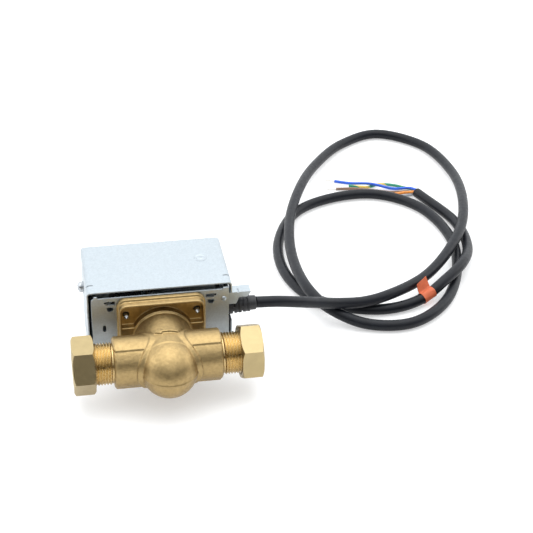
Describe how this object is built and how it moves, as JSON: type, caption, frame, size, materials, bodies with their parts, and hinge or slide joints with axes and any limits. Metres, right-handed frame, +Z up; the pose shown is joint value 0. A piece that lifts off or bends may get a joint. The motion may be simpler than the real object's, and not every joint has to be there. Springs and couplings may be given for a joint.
{
  "type": "motorised zone valve",
  "caption": "Spring-return motorised heating valve: a two-port brass body with compression nuts, a power head in a sheet-steel box and a long black flex.",
  "frame": {"origin": "centre of the outline of the valve without its flex, at the underside of the power head's cover, on the surface that it lies on", "axes": "+X along the two pipe ports, +Y from the brass body towards the back of the power head, +Z up from the surface that the valve lies on"},
  "size_m": [0.3195, 0.3621, 0.059],
  "materials": {
    "forged_brass": "tumbled, satin",
    "turned_brass": "machined",
    "zinc_plated_sheet": "bright zinc plated",
    "plated_steel": "zinc plated",
    "spring_steel": "bright",
    "motor_steel": "plated",
    "copper_winding": "enamelled wire",
    "black_plastic": "moulded",
    "white_plastic": "moulded",
    "seal_rubber": "moulded",
    "relief_rubber": "moulded",
    "flex_jacket": "extruded, satin",
    "orange_label": "paper label",
    "core_blue_insulation": "extruded",
    "core_brown_insulation": "extruded",
    "core_green_yellow_insulation": "extruded, striped",
    "core_grey_insulation": "extruded",
    "core_orange_insulation": "extruded"
  },
  "bodies": {
    "valve_base": {"valve_body": "forged_brass", "seat_ring": "turned_brass", "bonnet": "turned_brass", "bonnet_seal": "seal_rubber", "stem_seal_upper": "seal_rubber", "stem_seal_lower": "seal_rubber", "base_plate": "zinc_plated_sheet", "lanced_tab_left": "zinc_plated_sheet", "lanced_tab_right": "zinc_plated_sheet", "head_screw_1": "plated_steel", "head_screw_2": "plated_steel", "head_screw_3": "plated_steel", "head_screw_4": "plated_steel", "cable_bracket": "zinc_plated_sheet", "motor_plate": "zinc_plated_sheet", "motor_post_1": "plated_steel", "motor_post_2": "plated_steel", "motor_post_3": "plated_steel", "motor_case": "motor_steel", "motor_coil": "copper_winding", "motor_rotor": "motor_steel", "motor_screw_1": "plated_steel", "motor_screw_2": "plated_steel", "switch_body": "black_plastic", "switch_screw_1": "plated_steel", "switch_screw_2": "plated_steel", "switch_post_1": "plated_steel", "switch_post_2": "plated_steel", "switch_terminal_1": "turned_brass", "switch_terminal_2": "turned_brass", "switch_terminal_3": "turned_brass", "spring_post": "plated_steel", "return_spring": "spring_steel", "strain_relief": "relief_rubber", "cable": "flex_jacket", "cable_label": "orange_label", "core_blue": "core_blue_insulation", "core_brown": "core_brown_insulation", "core_green_yellow": "core_green_yellow_insulation", "core_grey": "core_grey_insulation", "core_orange": "core_orange_insulation"},
    "valve_spindle": {"valve_stem": "plated_steel", "paddle_arm": "turned_brass", "rubber_ball": "seal_rubber", "sector_gear": "zinc_plated_sheet"},
    "drive_pinion": {"motor_pinion": "turned_brass"},
    "hand_lever": {"manual_lever": "spring_steel"},
    "switch_blade": {"switch_lever": "spring_steel"},
    "switch_button": {"switch_plunger": "white_plastic"},
    "left_olive": {"olive_left": "turned_brass"},
    "left_nut": {"nut_left": "turned_brass"},
    "right_olive": {"olive_right": "turned_brass"},
    "right_nut": {"nut_right": "turned_brass"},
    "cover_shell": {"cover": "zinc_plated_sheet"},
    "cover_washer": {"cover_washer": "plated_steel"},
    "cover_screw": {"cover_screw": "plated_steel"}
  },
  "joints": [
    {"name": "valve_turn", "type": "hinge", "parent": "valve_base", "child": "valve_spindle", "pos_m": [0, 0.00065, 0.0205], "axis": [0, 1, 0], "range_deg": [0, 32], "stiffness_Nm_per_rad": 0.02, "springref_deg": -34.38, "deforming": ["return_spring"]},
    {"name": "pinion_turn", "type": "hinge", "parent": "valve_base", "child": "drive_pinion", "pos_m": [0.02458, 0.012, 0.0325], "axis": [0, 1, 0], "range_deg": [-150, 0]},
    {"name": "lever_turn", "type": "hinge", "parent": "valve_base", "child": "hand_lever", "pos_m": [0, 0.00065, 0.0205], "axis": [0, 1, 0], "range_deg": [0, 32.1]},
    {"name": "switch_blade_turn", "type": "hinge", "parent": "valve_base", "child": "switch_blade", "pos_m": [-0.0304, 0.01485, 0.0421], "axis": [0, -1, 0], "range_deg": [0, 4.7]},
    {"name": "switch_button_travel", "type": "slide", "parent": "valve_base", "child": "switch_button", "axis": [0, 0, 1], "range_m": [0, 0.00105]},
    {"name": "left_olive_slide", "type": "slide", "parent": "valve_base", "child": "left_olive", "axis": [-1, 0, 0], "range_m": [0, 0.0109]},
    {"name": "left_nut_turn", "type": "hinge", "parent": "left_olive", "child": "left_nut", "pos_m": [-0.0515, -0.03085, 0.0295], "axis": [-1, 0, 0], "range_deg": [0, 2160]},
    {"name": "right_olive_slide", "type": "slide", "parent": "valve_base", "child": "right_olive", "axis": [1, 0, 0], "range_m": [0, 0.0109]},
    {"name": "right_nut_turn", "type": "hinge", "parent": "right_olive", "child": "right_nut", "pos_m": [0.0515, -0.03085, 0.0295], "axis": [1, 0, 0], "range_deg": [0, 2160]},
    {"name": "cover_off", "type": "slide", "parent": "valve_base", "child": "cover_shell", "axis": [0, 1, 0], "range_m": [0, 0.065]},
    {"name": "cover_washer_slide", "type": "slide", "parent": "cover_shell", "child": "cover_washer", "axis": [-1, 0, 0], "range_m": [0, 0.0056]},
    {"name": "cover_screw_turn", "type": "hinge", "parent": "cover_washer", "child": "cover_screw", "pos_m": [-0.047, 0.04665, 0.0371], "axis": [-1, 0, 0], "range_deg": [0, 2900]}
  ],
  "couplings": [
    {"joint": "pinion_turn", "follows": "valve_turn", "ratio": -4.6667},
    {"joint": "lever_turn", "follows": "valve_turn", "ratio": 1},
    {"joint": "switch_blade_turn", "follows": "valve_turn", "ratio": 0.14375},
    {"joint": "switch_button_travel", "follows": "valve_turn", "m_per_rad": 0.00179},
    {"joint": "left_olive_slide", "follows": "left_nut_turn", "m_per_rad": 0.00028871},
    {"joint": "right_olive_slide", "follows": "right_nut_turn", "m_per_rad": 0.00028871},
    {"joint": "cover_screw_turn", "follows": "cover_washer_slide", "rad_per_m": 8976}
  ]
}
